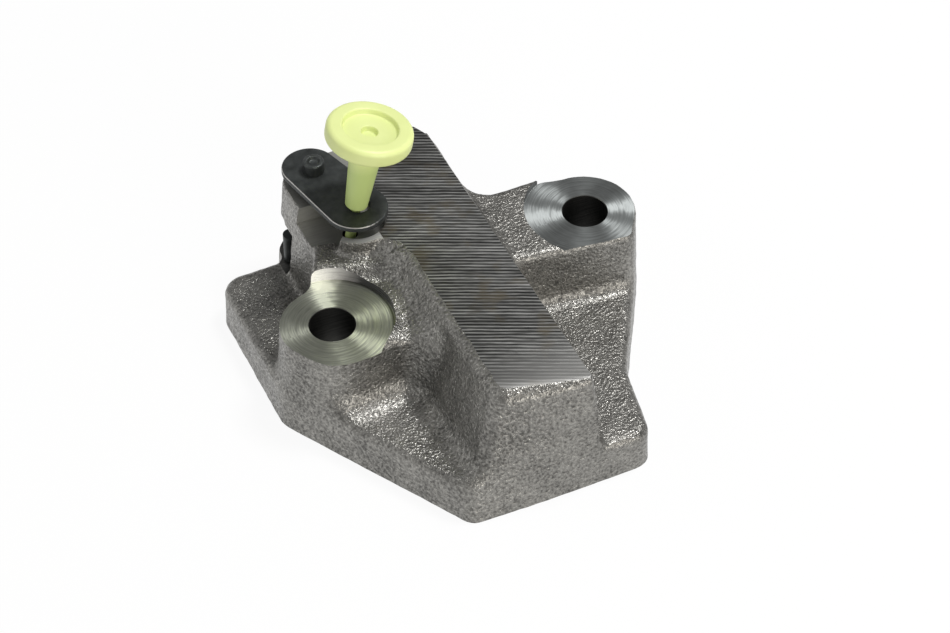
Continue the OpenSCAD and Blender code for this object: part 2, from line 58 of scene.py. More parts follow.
# Sizes of the part in millimetres
LEFT_BOLT = (-27.0, -3.0)
RIGHT_BOLT = (27.0, 3.0)
BOLT_R = 4.25
SPOT_R = 11.5                   # spot face of a bolt pad
LEFT_PAD = 19.5                 # heights of the pads
RIGHT_PAD = 21.0
ROUGH = 0.9                     # raw metal above the left pad
RIDGE_H = 26.0
RAW_TOP = RIDGE_H + 0.3         # raw ridge, before it is milled
RIDGE_LEFT = -10.3
RIDGE_RIGHT = 7.1
RIDGE_FOOT = 9.435              # right side of the ridge at the mounting face
FLANGE_H = 8.5
NEAR = -42.6                    # ends of the casting
FAR = 33.2
LEFT = -38.4
LOBE = 27.5                     # far side of the left lobe
LOBE_END = -25.2                # where the lobe meets the tower
WAIST = (21.8, -26.0)           # corner of the outline between the near end and the right ear
CORNER_R = 4.5
DRAFT = math.radians(2.5)
EAR_R = 10.5
EAR_BACK = RIGHT_BOLT[1] + EAR_R + 0.8
BOSS_R = 9.9
BOSS_AT = (-26.8, -3.5)
LEDGE = 20.4                    # raw top of the web between boss and ridge
RAMP_RISE = 2.5                 # from the web up to the pocket
TOWER_LEFT = -23.4
TOWER_NEAR = 12.8
POCKET_Z = 22.4
POCKET_R = 5.4
POCKET_AT = (-14.4, 14.3)
POCKET_LEFT = (-33.4, 16.495)   # left end of the pocket's near side
RIM_R = POCKET_R + 1.3
STEP_Y = 21.2                   # step from the tower down to the pocket
MILL_LEFT = -9.2                # left end of the ridge's tool marks beside the tower
MILL_NEAR = 17.0                # near end of the tower's top
SLOT_Z = (8.5, 18.0)
SLOT_R = 5.4
SLOT_LEFT = -26.0
SLOT_IN = (4.1, 1.5)            # from the pivot to the slot's near side, at the left and at the pawl's arm
AXIS = (-3.4, 12.5)             # the plunger's axis, across and up
BORE_R = 7.28
BORE_END = -30.986
CHAMBER_R = 4.0
CHAMBER_LEN = 4.5
FEED_R = 2.0
PIVOT = (-17.7, 26.9)
PIN_R = 2.0
PIN_HOLE_R = 2.04
STUD_LOW = 3.2
STUD_TOP = 31.2
LOCK = (-14.4, 14.6)            # where the lock pin's axis passes the lever
LOCK_LEAN = math.radians(10.8)
LOCK_LIFT = 0.4235              # from the lever's top to the pin's own zero
LOCK_HOLE = (-15.813, 14.6)
LOCK_HOLE_R = 1.45
LOCK_HOLE_Z = 19.583
PLATE_Z = (27.6, 28.8)
PLATE_FAR = (-18.063, 28.252)   # centre of the lever's far end
PLATE_FAR_R = 5.2
PLATE_LOCK_R = 5.9
PLATE_HOLE = (-13.763, 14.795)
PLATE_HOLE_R = 2.029
WIDE = 70.0                     # reach of the cutters past the casting
OVER = 50.0


# Shader maths

class Shade:
    """A socket of a node tree. Operators between sockets and numbers add Math nodes."""

    def __init__(self, tree, socket=None):
        self.tree = tree
        self.socket = socket

    def add(self, kind, sockets=None, out=0, stops=None, **settings):
        """Any node: its settings first, then a ramp's stops, then the values or links of its sockets."""
        node = self.tree.nodes.new(kind)
        for name, value in settings.items():
            setattr(node, name, value)
        if stops:
            ramp = node.color_ramp.elements
            while len(ramp) < len(stops):
                ramp.new(0.5)
            for stop, (place, colour) in zip(ramp, stops):
                stop.position = place
                stop.color = (*colour, 1.0) if isinstance(colour, tuple) else (colour, colour, colour, 1.0)
        for key, value in (sockets or {}).items():
            if isinstance(value, Shade):
                self.tree.links.new(value.socket, node.inputs[key])
            else:
                node.inputs[key].default_value = value
        return Shade(self.tree, node.outputs[out])

    def math(self, operation, a, b=0.0):
        """A Math node of two values."""
        return self.add("ShaderNodeMath", {0: a, 1: b}, operation=operation)

    def __add__(self, other):
        return self.math("ADD", self, other)

    def __sub__(self, other):
        return self.math("SUBTRACT", self, other)

    def __rsub__(self, other):
        return self.math("SUBTRACT", other, self)

    def __mul__(self, other):
        return self.math("MULTIPLY", self, other)

    def __pow__(self, other):
        return self.math("POWER", self, other)

    def ramp(self, *stops):
        """A value turned into a colour, or into another value, through the stops of a ramp."""
        return self.add("ShaderNodeValToRGB", {0: self}, stops=stops)

    def mix(self, low, high):
        """Low where this value is 0 and high where it is 1."""
        return self.add("ShaderNodeMix", {0: self, 6: low, 7: high}, out=2, data_type="RGBA")

    def noise(self, size, detail, rough):
        """Noise on this coordinate with lumps of the given size in millimetres."""
        return self.add("ShaderNodeTexNoise", {"Vector": self, "Scale": 1 / (size * MM), "Detail": detail,
                                               "Roughness": rough})

    def cells(self, size):
        """Distance to the nearest of scattered points, which lie about the size in millimetres apart."""
        return self.add("ShaderNodeTexVoronoi", {"Vector": self, "Scale": 1 / (size * MM)})

    def axis(self, which):
        """One coordinate of a vector, in millimetres."""
        return self.add("ShaderNodeSeparateXYZ", {0: self}, out="XYZ".index(which)) * (1 / MM)

    def bump(self, strength, depth):
        """Normal from this height, where a height of 1 is so many millimetres deep."""
        return self.add("ShaderNodeBump", {"Height": self, "Strength": strength, "Distance": depth * MM})


def material(name, finish, **constant):
    """A Principled material: finish takes the object coordinates and gives the sockets that vary."""
    made = bpy.data.materials.new(name)
    made.use_nodes = True
    tree = made.node_tree
    shader = tree.nodes["Principled BSDF"]
    for key, value in constant.items():
        shader.inputs[key.replace("_", " ")].default_value = value
    coord = Shade(tree).add("ShaderNodeTexCoord", out=3)
    for key, value in finish(coord).items():
        tree.links.new(value.socket, shader.inputs[key.replace("_", " ")])
    return made


def cast_skin(coord):
    """Sand cast skin: grains of two sizes, dark pits, and slow patches of tone."""
    grain = coord.noise(0.56, 2, 0.6)
    fine = coord.noise(0.26, 1, 0.5)
    patch = coord.noise(7.0, 2, 0.5)
    pits = coord.cells(0.8).ramp((0.0, 0.0), (0.35, 1.0))
    tone = grain * 0.75 + patch * 0.25
    colour = tone.ramp((0.34, (0.085, 0.083, 0.077)), (0.48, (0.20, 0.195, 0.182)),
                       (0.66, (0.33, 0.322, 0.30)))
    height = grain * 0.7 + fine * 0.15 + pits * 0.15
    return {"Base_Color": colour,
            "Roughness": grain.ramp((0.35, 0.44), (0.65, 0.24)),
            "Normal": height.bump(1.0, 0.33)}


GLINT_FALL = 22.0               # how fast a painted highlight streak fades to its sides
# Painted highlights on the turned pads: each streak's angle in degrees and its strength
LEFT_PAINTED_GLINTS = ((80, 0.8), (-100, 0.22), (-5, 0.4), (175, 0.35), (-58, 0.5))
RIGHT_PAINTED_GLINTS = ((-15, 0.8), (165, 0.8), (-62, 0.5), (118, 0.5), (-115, 0.15), (65, 0.1))


def turned(centre, plain, glints, tint):
    """Turned face: fine rings about a bolt's axis, and highlights painted into the colour as streaks across
    them where the rings would throw light back.
    Plain is the level between the painted streaks. Each glint is a painted streak's angle in degrees and its
    strength."""
    def finish(coord):
        x = coord.axis("X") - centre[0]
        y = coord.axis("Y") - centre[1]
        radius = (x * x + y * y) ** 0.5
        angle = coord.math("ARCTAN2", y, x)
        stretched = coord.add("ShaderNodeCombineXYZ", {0: radius * MM, 1: angle * (0.5 * MM)})
        rings = stretched.noise(0.38, 2, 0.6)
        wander = coord.noise(2.5, 1, 0.5)
        level = wander * 0.1 + (plain - 0.05)
        # Each glint adds a painted highlight streak to the pad's colour
        for at, strength in glints:
            facing = coord.math("COSINE", angle + wander * 0.25 - (math.radians(at) + 0.125))
            level = level + coord.math("MAXIMUM", facing, 0.0) ** GLINT_FALL * strength
        tone = level * (rings * 1.7 + 0.15)
        middle = tuple(0.33 * part for part in tint)
        return {"Base_Color": tone.ramp((0.0, (0.02, 0.02, 0.018)), (0.5, middle), (1.0, tint)),
                "Roughness": rings.ramp((0.3, 0.50), (0.7, 0.38)),
                "Normal": rings.bump(0.5, 0.06)}
    return finish


def bored_and_painted_light(centre, swing):
    """Wall of a spot face with fine turning lines, and painted light and shade: bright at the swing in
    degrees, dark away from it.
    """
    def finish(coord):
        angle = coord.math("ARCTAN2", coord.axis("Y") - centre[1], coord.axis("X") - centre[0])
        facing = coord.math("COSINE", angle - math.radians(swing))
        stretched = coord.add("ShaderNodeCombineXYZ", {0: angle * (1.2 * MM), 1: coord.axis("Z") * MM})
        lines = stretched.noise(0.3, 2, 0.6)
        # Painted light and shade: the wall is made bright towards the swing and dark away from it
        tone = facing * 1.2 + lines * 0.4 - 0.55
        return {"Base_Color": tone.ramp((0.3, (0.06, 0.06, 0.06)), (0.55, (0.40, 0.39, 0.38)),
                                        (0.76, (1.0, 0.98, 0.96))),
                "Roughness": lines.ramp((0.3, 0.36), (0.7, 0.22)),
                "Normal": lines.bump(0.3, 0.04)}
    return finish


MILL_RUN = (0.906, -0.423)      # direction of the tool marks
MILL_PITCH = 0.81
MILL_STAIN = (0.13, 0.11, 0.075, 1.0)
MILL_END = (0.33, 0.327, 0.317, 1.0)


def milled(coord):
    """Milled ridge: straight tool marks, unevenly bright along their length, with brown stains, and paler
    towards the near end."""
    x = coord.axis("X")
    y = coord.axis("Y")
    along = x * MILL_RUN[0] + y * MILL_RUN[1]
    across = y * MILL_RUN[0] - x * MILL_RUN[1]
    sway = coord.noise(9.0, 1, 0.5)
    phase = across + sway * 0.25
    streak = coord.add("ShaderNodeCombineXYZ", {0: along * (0.06 * MM), 1: phase * MM})
    scratch = streak.noise(0.28, 2, 0.6)
    lines = coord.math("SINE", phase * (2 * math.pi / MILL_PITCH)) * 0.5 + 0.5
    broad = streak.noise(2.6, 1, 0.5)
    tone = lines * 0.24 + scratch * 0.50 + broad * 0.26
    colour = tone.ramp((0.36, (0.03, 0.03, 0.029)), (0.52, (0.12, 0.12, 0.116)), (0.68, (0.40, 0.40, 0.39)))
    stain = coord.noise(6.0, 2, 0.6).ramp((0.54, 0.0), (0.70, 0.55))
    end = (y * -0.1 - 2.7).ramp((0.0, 0.0), (1.0, 0.65))
    return {"Base_Color": end.mix(stain.mix(colour, MILL_STAIN), MILL_END),
            "Roughness": scratch.ramp((0.3, 0.62), (0.7, 0.48)),
            "Normal": (lines * 0.6 + scratch * 0.4).bump(0.5, 0.05)}


def machined(dark, light):
    """Plain machined face with faint scratches in one direction."""
    def finish(coord):
        along = coord.axis("X")
        across = coord.axis("Y") + coord.axis("Z")
        streak = coord.add("ShaderNodeCombineXYZ", {0: along * (0.08 * MM), 1: across * MM})
        scratch = streak.noise(0.35, 2, 0.6)
        cloud = coord.noise(5.0, 2, 0.5)
        tone = scratch * 0.6 + cloud * 0.4
        return {"Base_Color": tone.ramp((0.3, dark), (0.7, light)),
                "Roughness": tone.ramp((0.3, 0.48), (0.7, 0.34)),
                "Normal": scratch.bump(0.25, 0.03)}
    return finish


def blackened(coord):
    """Black oxide: near black with a soft mottle, bright where the point attribute says: rubbed rims, and a
    painted highlight along the lever's edge.
    """
    wear_and_highlight = coord.add("ShaderNodeAttribute", out=2, attribute_name="wear_and_highlight")
    mottle = coord.noise(2.2, 3, 0.6)
    nick = coord.noise(0.6, 2, 0.6)
    # Bare metal at rubbed rims, and the painted highlight along the lever's edge
    bare_and_highlight = (wear_and_highlight * 1.4 + nick * 0.8 - 1.1).ramp((0.0, 0.0), (0.3, 1.0))
    black = mottle.ramp((0.3, (0.038, 0.042, 0.041)), (0.7, (0.072, 0.078, 0.077)))
    return {"Base_Color": bare_and_highlight.mix(black, (0.52, 0.51, 0.49, 1.0)),
            "Roughness": mottle.ramp((0.3, 0.42), (0.7, 0.55)),
            "Normal": (mottle * 0.6 + nick * 0.4).bump(0.2, 0.04)}


def moulded(coord):
    """Moulded plastic with a faint cloud and a very fine skin texture, and painted shade: darker along the
    stem below the head, where the head shades it.
    """
    cloud = coord.noise(6.0, 2, 0.5)
    skin = coord.noise(0.35, 2, 0.5)
    # Painted shade: the stem is made darker below the head, where the head shades it
    stem_shade = (4.2 - coord.axis("Z") * 0.1).ramp((0.0, 0.0), (0.4, 1.0))
    even = cloud.ramp((0.3, (0.68, 0.75, 0.31)), (0.7, (0.72, 0.79, 0.34)))
    return {"Base_Color": stem_shade.mix(even, (0.50, 0.61, 0.22, 1.0)),
            "Roughness": skin.ramp((0.3, 0.40), (0.7, 0.52)),
            "Normal": skin.bump(0.06, 0.03)}


def ground(coord):
    """Ground steel with fine rings round the plunger's axis."""
    streak = coord.add("ShaderNodeCombineXYZ", {1: coord.axis("Y") * MM, 0: coord.axis("X") * (0.02 * MM)})
    scratch = streak.noise(0.3, 2, 0.6)
    return {"Base_Color": scratch.ramp((0.3, (0.48, 0.48, 0.49)), (0.7, (0.68, 0.68, 0.69))),
            "Roughness": scratch.ramp((0.3, 0.34), (0.7, 0.22)),
            "Normal": scratch.bump(0.12, 0.02)}


def drawn(coord):
    """Drawn spring wire and sheet, slightly stained."""
    stain = coord.noise(1.6, 2, 0.6)
    return {"Base_Color": stain.ramp((0.3, (0.30, 0.30, 0.31)), (0.7, (0.52, 0.52, 0.53))),
            "Roughness": stain.ramp((0.3, 0.42), (0.7, 0.28)),
            "Normal": stain.bump(0.1, 0.02)}


CAST = material("cast_skin", cast_skin, Metallic=0.8)
LEFT_TURNED_GLINTS = material("turned_left_pad_painted_glints", turned(LEFT_BOLT, 0.30, LEFT_PAINTED_GLINTS, (0.97, 1.0, 0.86)),
                       Metallic=1.0)
RIGHT_TURNED_GLINTS = material("turned_right_pad_painted_glints", turned(RIGHT_BOLT, 0.20, RIGHT_PAINTED_GLINTS, (0.95, 1.0, 0.99)),
                        Metallic=1.0)
# Spot face walls with painted light on one side and painted shade on the other
LEFT_BORED_PAINTED_LIGHT = material("left_spot_wall", bored_and_painted_light(LEFT_BOLT, 95), Metallic=0.2)
RIGHT_BORED_PAINTED_LIGHT = material("right_spot_wall", bored_and_painted_light(RIGHT_BOLT, -60), Metallic=1.0)
MILLED = material("milled_ridge", milled, Metallic=1.0)
MACHINED = material("machined_face", machined((0.26, 0.26, 0.25), (0.46, 0.46, 0.44)), Metallic=1.0)
POCKET = material("pocket_floor", machined((0.30, 0.30, 0.28), (0.40, 0.40, 0.375)), Metallic=0.7)
# Walls of holes and the slot: a near-black copy of the machined finish, painted shade in the recesses
DRILLED_PAINTED_SHADE = material("drilled_wall_painted_shade", machined((0.05, 0.05, 0.05), (0.14, 0.14, 0.13)), Metallic=1.0)
# The pocket's rim: a much lighter copy of the machined finish, a painted highlight
RIM_PAINTED_HIGHLIGHT = material("pocket_rim", machined((0.70, 0.70, 0.67), (0.95, 0.95, 0.92)), Metallic=0.8)
BLACK = material("black_oxide", blackened, Metallic=0.7)
PLASTIC = material("pin_plastic", moulded, IOR=1.46)
STEEL = material("ground_steel", ground, Metallic=1.0)
WIRE = material("spring_steel", drawn, Metallic=1.0)


# Surfaces

def mesh_piece(name, points, faces, materials, index=None):
    """A mesh object at the origin from points in millimetres and faces of equal or mixed size."""
    mesh = bpy.data.meshes.new(name)
    mesh.from_pydata((np.asarray(points, float) * MM).tolist(), [], [list(map(int, f)) for f in faces])
    for one in materials:
        mesh.materials.append(one)
    if index is not None:
        mesh.polygons.foreach_set("material_index", np.asarray(index, np.int32))
    mesh.update()
    obj = bpy.data.objects.new(name, mesh)
    bpy.context.scene.collection.objects.link(obj)
    return obj


def lathe(profile, sides, at=(0.0, 0.0, 0.0), turn=None):
    """A profile of (radius, height) turned about Z, closed on the axis at both ends, then turned and placed.
    Gives points, faces and the profile's side that each face lies on."""
    profile = np.asarray(profile, float)
    angle = np.arange(sides) * (2 * np.pi / sides)
    radius, height = profile[1:-1, 0], profile[1:-1, 1]
    ring = np.stack([radius[:, None] * np.cos(angle), radius[:, None] * np.sin(angle),
                     np.repeat(height[:, None], sides, 1)], -1).reshape(-1, 3)
    points = np.concatenate([ring, [[0, 0, profile[0, 1]], [0, 0, profile[-1, 1]]]])
    rows = len(radius)
    j = np.arange(sides)
    k = (j + 1) % sides
    base = (np.arange(rows - 1) * sides)[:, None]
    walls = np.stack([base + j, base + k, base + sides + k, base + sides + j], -1).reshape(-1, 4)
    low = np.stack([k, j, np.full(sides, rows * sides)], -1)
    top = (rows - 1) * sides
    high = np.stack([top + j, top + k, np.full(sides, rows * sides + 1)], -1)
    if turn is not None:
        points = points @ np.asarray(turn, float).T
    return points + np.asarray(at, float), [*low, *walls, *high], np.concatenate(
        [np.zeros(sides, int), np.repeat(np.arange(1, rows), sides), np.full(sides, rows)])


def prism(outline, low, high):
    """A flat outline, anticlockwise, carried straight up from one height to another."""
    outline = np.asarray(outline, float)
    n = len(outline)
    points = np.concatenate([np.column_stack([outline, np.full(n, z)]) for z in (low, high)])
    j = np.arange(n)
    k = (j + 1) % n
    return points, [j[::-1], *np.stack([j, k, k + n, j + n], -1), j + n]


def arc(centre, radius, start, end, steps):
    """Points on a circle between two angles in degrees."""
    angle = np.radians(np.linspace(start, end, steps))
    return np.column_stack([centre[0] + radius * np.cos(angle), centre[1] + radius * np.sin(angle)])


def rounded(corners, radius, steps=7):
    """A closed outline with an arc of the radius in each corner, tangent to both sides."""
    corners = np.asarray(corners, float)
    before = np.roll(corners, 1, 0) - corners
    after = np.roll(corners, -1, 0) - corners
    before /= np.linalg.norm(before, axis=1)[:, None]
    after /= np.linalg.norm(after, axis=1)[:, None]
    half = np.arccos(np.clip((before * after).sum(1), -1, 1)) / 2
    radius = np.broadcast_to(radius, half.shape)
    reach = radius / np.tan(half)
    t = np.linspace(0, 1, steps)[None, :, None]
    start = (corners + before * reach[:, None])[:, None]
    end = (corners + after * reach[:, None])[:, None]
    middle = before + after
    middle /= np.linalg.norm(middle, axis=1)[:, None]
    centre = (corners + middle * (radius / np.sin(half))[:, None])[:, None]
    spoke = (start - centre) * (1 - t) + (end - centre) * t
    spoke /= np.maximum(np.linalg.norm(spoke, axis=2), 1e-9)[..., None]
    line = (centre + spoke * radius[:, None, None]).reshape(-1, 2)
    return line[np.linalg.norm(line - np.roll(line, 1, 0), axis=1) > 1e-6]


def plan_distance(x, y, outline):
    """Signed distance to a closed outline: least distance to its sides, negative inside by crossings."""
    p = np.stack([x, y], -1)[..., None, :]
    a = outline
    b = np.roll(outline, -1, 0)
    run = b - a
    t = np.clip(((p - a) * run).sum(-1) / (run * run).sum(-1), 0, 1)
    gap = np.linalg.norm(p - a - t[..., None] * run, axis=-1).min(-1)
    above = (a[:, 1] > p[..., 1]) != (b[:, 1] > p[..., 1])
    climb = np.where(run[:, 1] == 0, 1e-9, run[:, 1])
    side = p[..., 0] < a[:, 0] + run[:, 0] * (p[..., 1] - a[:, 1]) / climb
    return np.where((above & side).sum(-1) % 2 == 1, -gap, gap)


def join(a, b, r):
    """Union of two distances with a fillet of radius r."""
    return np.maximum(r, np.minimum(a, b)) - np.hypot(np.maximum(r - a, 0), np.maximum(r - b, 0))


def common(a, b, r):
    """Intersection of two distances with an edge rounded to radius r."""
    return np.minimum(-r, np.maximum(a, b)) + np.hypot(np.maximum(r + a, 0), np.maximum(r + b, 0))


# Casting

def casting_outline():
    """Outline at the mounting face: straight sides with round corners, and the right ear's arc."""
    to_ear = np.array(RIGHT_BOLT) - np.array(WAIST)
    touch = math.degrees(math.atan2(to_ear[1], to_ear[0]) - math.asin(EAR_R / np.linalg.norm(to_ear))) - 90
    near = [(-17.0, NEAR), (18.6, NEAR), WAIST]
    ear = arc(RIGHT_BOLT, EAR_R, touch, 90, 20)
    back = [(RIGHT_BOLT[0] - 3.5, EAR_BACK), (RIDGE_FOOT, EAR_BACK), (RIDGE_FOOT, FAR + 8), (-15.0, FAR + 8),
            (LOBE_END, 30.0), (LOBE_END, LOBE), (LEFT, LOBE), (LEFT, LEFT_BOLT[1] - 2.9)]
    back_r = [CORNER_R] * 4 + [3.0, 1.2] + [CORNER_R] * 2
    radius = np.concatenate([np.full(len(near), CORNER_R), np.zeros(len(ear)), back_r])
    return rounded(np.concatenate([near, ear, back]), radius)


OUTLINE = casting_outline()


def casting_distance(x, y, z, plan):
    """Distance to the raw casting: flange, ridge, shoulder, rim, boss and ear joined with cast fillets, then
    kept within the drafted outline, the cheek beside the boss and the near face. plan is the distance to the
    outline. The shoulder is the web beside the left pad that ramps up into the tower, and the rim goes round
    the pocket. A factor just under 1 is the cosine of a wall's lean."""
    drop = 1 - z / RIDGE_H
    right = (x - RIDGE_RIGHT - (RIDGE_FOOT - RIDGE_RIGHT) * drop) * 0.996
    spread = np.clip((y + 47.6) / 43.6, 0, 1) * 2.0
    left = (RIDGE_LEFT - (6.4 + spread) * drop - x) * 0.96
    corner = ((x - RIDGE_RIGHT) * 2 + (y - FAR + 2.8)) * 0.447 - 6.0 * drop
    ridge = common(common(right, z - RAW_TOP, 0.9), left, 2.5)
    ridge = common(ridge, corner, 1.2)

    slant = y + 0.4 * (x + 24.3)
    rise = np.clip((slant - 5) / 4.5, 0, 1)
    ramp = np.where(y > STEP_Y - 0.3, RAW_TOP, LEDGE + RAMP_RISE * rise * rise * (3 - 2 * rise))
    wall = TOWER_LEFT - 0.108 * (RIDGE_H - z) - 0.545 * np.maximum(TOWER_NEAR - y, 0)
    shoulder = common((wall - x) * 0.95, y - FAR - 0.4, 5.0)
    shoulder = common(shoulder, (z - ramp) * 0.95, 0.8)
    shoulder = common(shoulder, (-10.2 - 0.05 * (LEDGE - z) - slant) * 0.93, 1.0)
    shoulder = np.maximum(shoulder, x + 2)

    out = np.hypot(x - POCKET_AT[0], y - POCKET_AT[1])
    past = (POCKET_AT[0] - x) * 0.602 + (y - POCKET_AT[1]) * 0.799
    rim = common((out - RIM_R - 0.06 * (RIDGE_H - z)) * 0.99, z - RAW_TOP, 0.6)
    rim = common(rim, (past + 0.25 * (z - RIDGE_H)) * 0.97, 0.6)

    boss_top = LEFT_PAD + ROUGH
    rho = np.hypot(x - BOSS_AT[0], y - BOSS_AT[1])
    boss = common((rho - BOSS_R - 0.08 * (boss_top - z)) * 0.997, z - boss_top, 0.8)
    front = RIGHT_BOLT[1] - EAR_R + 0.7 - 0.13 * (x - RIGHT_BOLT[0]) + 0.023 * z
    ear = np.maximum(common(front - y, z - RIGHT_PAD - 0.4 - 0.045 * (y + 8), 1.3), -x)

    soft = np.clip(np.maximum((-2 - y) / 8, (x + 21) / 6), 0, 1)
    body = join(z - FLANGE_H, ridge, np.where(x > 0, 1.8, 3.6))
    body = join(body, shoulder, 1.3 + 3.2 * soft)
    body = join(body, rim, 1.0 + 4.0 * np.clip((x + 15) / 4, 0, 1))
    body = join(body, boss, 1.6 + 3.2 * soft)
    body = join(body, ear, 2.5)

    crisp = np.clip((y - 6) / 4, 0, 1) * np.clip((x - 5) / 3, 0, 1)
    body = common(body, (plan + z * math.tan(DRAFT)) * 0.999, 1.5 - crisp)
    cheek = (LEFT_BOLT[0] - x) * 0.864 + (LEFT_BOLT[1] - y) * 0.504 - 9.33 - 0.1 * (LEFT_PAD - z)
    body = common(body, cheek, 1.2)
    near_y = NEAR * drop + (NEAR + 0.8 + 0.2644 * (RIDGE_RIGHT - x)) * (1 - drop)
    edge = np.maximum(1.6 + 1.4 * np.clip((z - 18) / 8, 0, 1), 1.6 + 1.0 * np.clip((-5 - x) / 8, 0, 1))
    return common(body, (near_y - y) * 0.99, edge)


LATTICE = 32                    # points along a side before the random values repeat
RELIEF = ((0.06, 5.5, 3), (0.05, 2.1, 4), (0.05, 1.1, 5))


def lattice_noise(p, size, seed):
    """Smooth noise from -1 to 1: random values on a cubic lattice, blended between its points."""
    table = np.random.RandomState(seed).uniform(-1, 1, (LATTICE, LATTICE, LATTICE))
    q = p / size
    low = np.floor(q).astype(int)
    t = q - low
    t = t * t * (3 - 2 * t)
    total = 0
    for corner in np.ndindex(2, 2, 2):
        i, j, k = ((low + corner) % LATTICE).T
        total = total + table[i, j, k] * np.where(corner, t, 1 - t).prod(1)
    return total


def relief(p):
    """How far the sand mould left the skin above its drawn surface: slow waves and small lumps, each with
    its height and size in millimetres and its seed."""
    return sum(height * lattice_noise(p, size, seed) for height, size, seed in RELIEF)


def net_of_cells(field, origin, step):
    """Surface net: a point in each cell that the surface crosses, at the mean of its edge crossings, and a
    quad round each grid edge that the surface crosses."""
    inside = field < 0
    shape = np.array(field.shape) - 1
    corners = np.array(list(np.ndindex(2, 2, 2)))
    count = sum(inside[a:a + shape[0], b:b + shape[1], c:c + shape[2]].astype(np.int8)
                for a, b, c in corners)
    cell = np.argwhere((count > 0) & (count < 8))
    number = np.full(shape, -1)
    number[tuple(cell.T)] = np.arange(len(cell))
    total = np.zeros((len(cell), 3))
    hits = np.zeros(len(cell))
    for a in corners:
        for axis in range(3):
            if a[axis] == 0:
                b = a + np.eye(3, dtype=int)[axis]
                va = field[tuple((cell + a).T)]
                vb = field[tuple((cell + b).T)]
                cross = (va < 0) != (vb < 0)
                t = np.where(cross, va / np.where(cross, va - vb, 1), 0)
                total += np.where(cross[:, None], a + t[:, None] * (b - a), 0)
                hits += cross
    points = origin + step * (cell + total / hits[:, None])
    faces = []
    for axis in range(3):
        u, v = np.eye(3, dtype=int)[[(axis + 1) % 3, (axis + 2) % 3]]
        ahead = np.eye(3, dtype=int)[axis]
        low = inside[tuple(slice(1, n) if i != axis else slice(0, n) for i, n in enumerate(shape))]
        high = inside[tuple(slice(1, n) if i != axis else slice(1, n + 1) for i, n in enumerate(shape))]
        edge = np.argwhere(low != high)
        flip = low[tuple(edge.T)]
        edge = edge + 1 - ahead
        quad = np.stack([number[tuple((edge - d).T)] for d in (u + v, v, 0 * u, u)], 1)
        faces.append(np.where(flip[:, None], quad, quad[:, ::-1]))
    return points, np.concatenate(faces)


def raw_casting(step=0.5):
    """Points and quads of the raw casting: its net, drawn evenly and set on the surface with its relief."""
    low = np.array([-40.0, -45.0, -2.0])
    high = np.array([39.5, FAR + 2.5, RAW_TOP + 2])
    x, y, z = [np.arange(a, b, step) for a, b in zip(low, high)]
    plan = plan_distance(*np.meshgrid(x, y, indexing="ij"), OUTLINE)[:, :, None]

    def closed(px, py, pz, pl):
        """The casting's distance, ended a little below the base and past the far end."""
        return np.maximum(casting_distance(px, py, pz, pl), np.maximum(-1 - pz, py - FAR - 1))

    field = closed(x[:, None, None], y[None, :, None], z[None, None, :], plan)
    points, quads = net_of_cells(field, low, step)
    count = np.bincount(quads.ravel(), minlength=len(points))[:, None]

    def at(p):
        """That distance at scattered points."""
        return closed(p[:, 0], p[:, 1], p[:, 2], plan_distance(p[:, 0], p[:, 1], OUTLINE))

    for smooth in (True, True, False, False):
        if smooth:
            centre = np.repeat(points[quads].mean(1), 4, 0)
            total = [np.bincount(quads.ravel(), centre[:, i], len(points)) for i in range(3)]
            points = points * 0.4 + np.stack(total, 1) / count * 0.6
        value = at(points) - (0 if smooth else relief(points))
        slope = np.stack([(at(points + d) - at(points - d)) / 0.1 for d in 0.05 * np.eye(3)], 1)
        points = points - slope * np.clip(value / (slope ** 2).sum(1), -step, step)[:, None]
    return points, quads


UP_Y = [[1, 0, 0], [0, 0, 1], [0, -1, 0]]
ROUND_STEPS = 40


def pocket_outline():
    """Near side that slopes, round end under the lever's lock end, right side and the step at the tower."""
    rim = arc(POCKET_AT, POCKET_R, 194.09, 360, ROUND_STEPS)
    step = [(POCKET_AT[0] + POCKET_R, STEP_Y), (POCKET_LEFT[0], STEP_Y)]
    return np.concatenate([[POCKET_LEFT], rim, step])


def slot_outline():
    """Round at the pawl's hub, open to the bore, the far end and the left."""
    left, right = [math.degrees(math.asin(reach / SLOT_R)) for reach in SLOT_IN]
    left_y, right_y = [PIVOT[1] - reach for reach in SLOT_IN]
    rim = arc(PIVOT, SLOT_R, 180 + left, 360 - right, 32)
    mouth = [(AXIS[0], right_y), (AXIS[0], WIDE), (SLOT_LEFT, WIDE)]
    return np.concatenate([[(SLOT_LEFT, left_y)], rim, mouth])


def box_outline(x0, x1, y0, y1):
    """Corners of a rectangle, anticlockwise."""
    return [(x0, y0), (x1, y0), (x1, y1), (x0, y1)]


CUTTERS = bpy.data.collections.new("cutters")


def cutter(name, shape, materials, index=None):
    """A closed shape that is cut from the casting, and the finish that its faces leave."""
    obj = mesh_piece(name, shape[0], shape[1], materials, index)
    CUTTERS.objects.link(obj)
    bpy.context.scene.collection.objects.unlink(obj)


def bolt_cutter(name, at, pad, face, wall):
    """Bolt hole with broken edges and the spot face above it."""
    profile = [(0, -5), (BOLT_R + 5.4, -5), (BOLT_R, 0.4), (BOLT_R, pad - 0.1), (BOLT_R + 0.1, pad),
               (SPOT_R, pad), (SPOT_R, OVER), (0, OVER)]
    points, faces, row = lathe(profile, 96, (*at, 0))
    cutter(name, (points, faces), [face, DRILLED_PAINTED_SHADE, wall], np.array([1, 1, 1, 1, 0, 2, 2])[row])


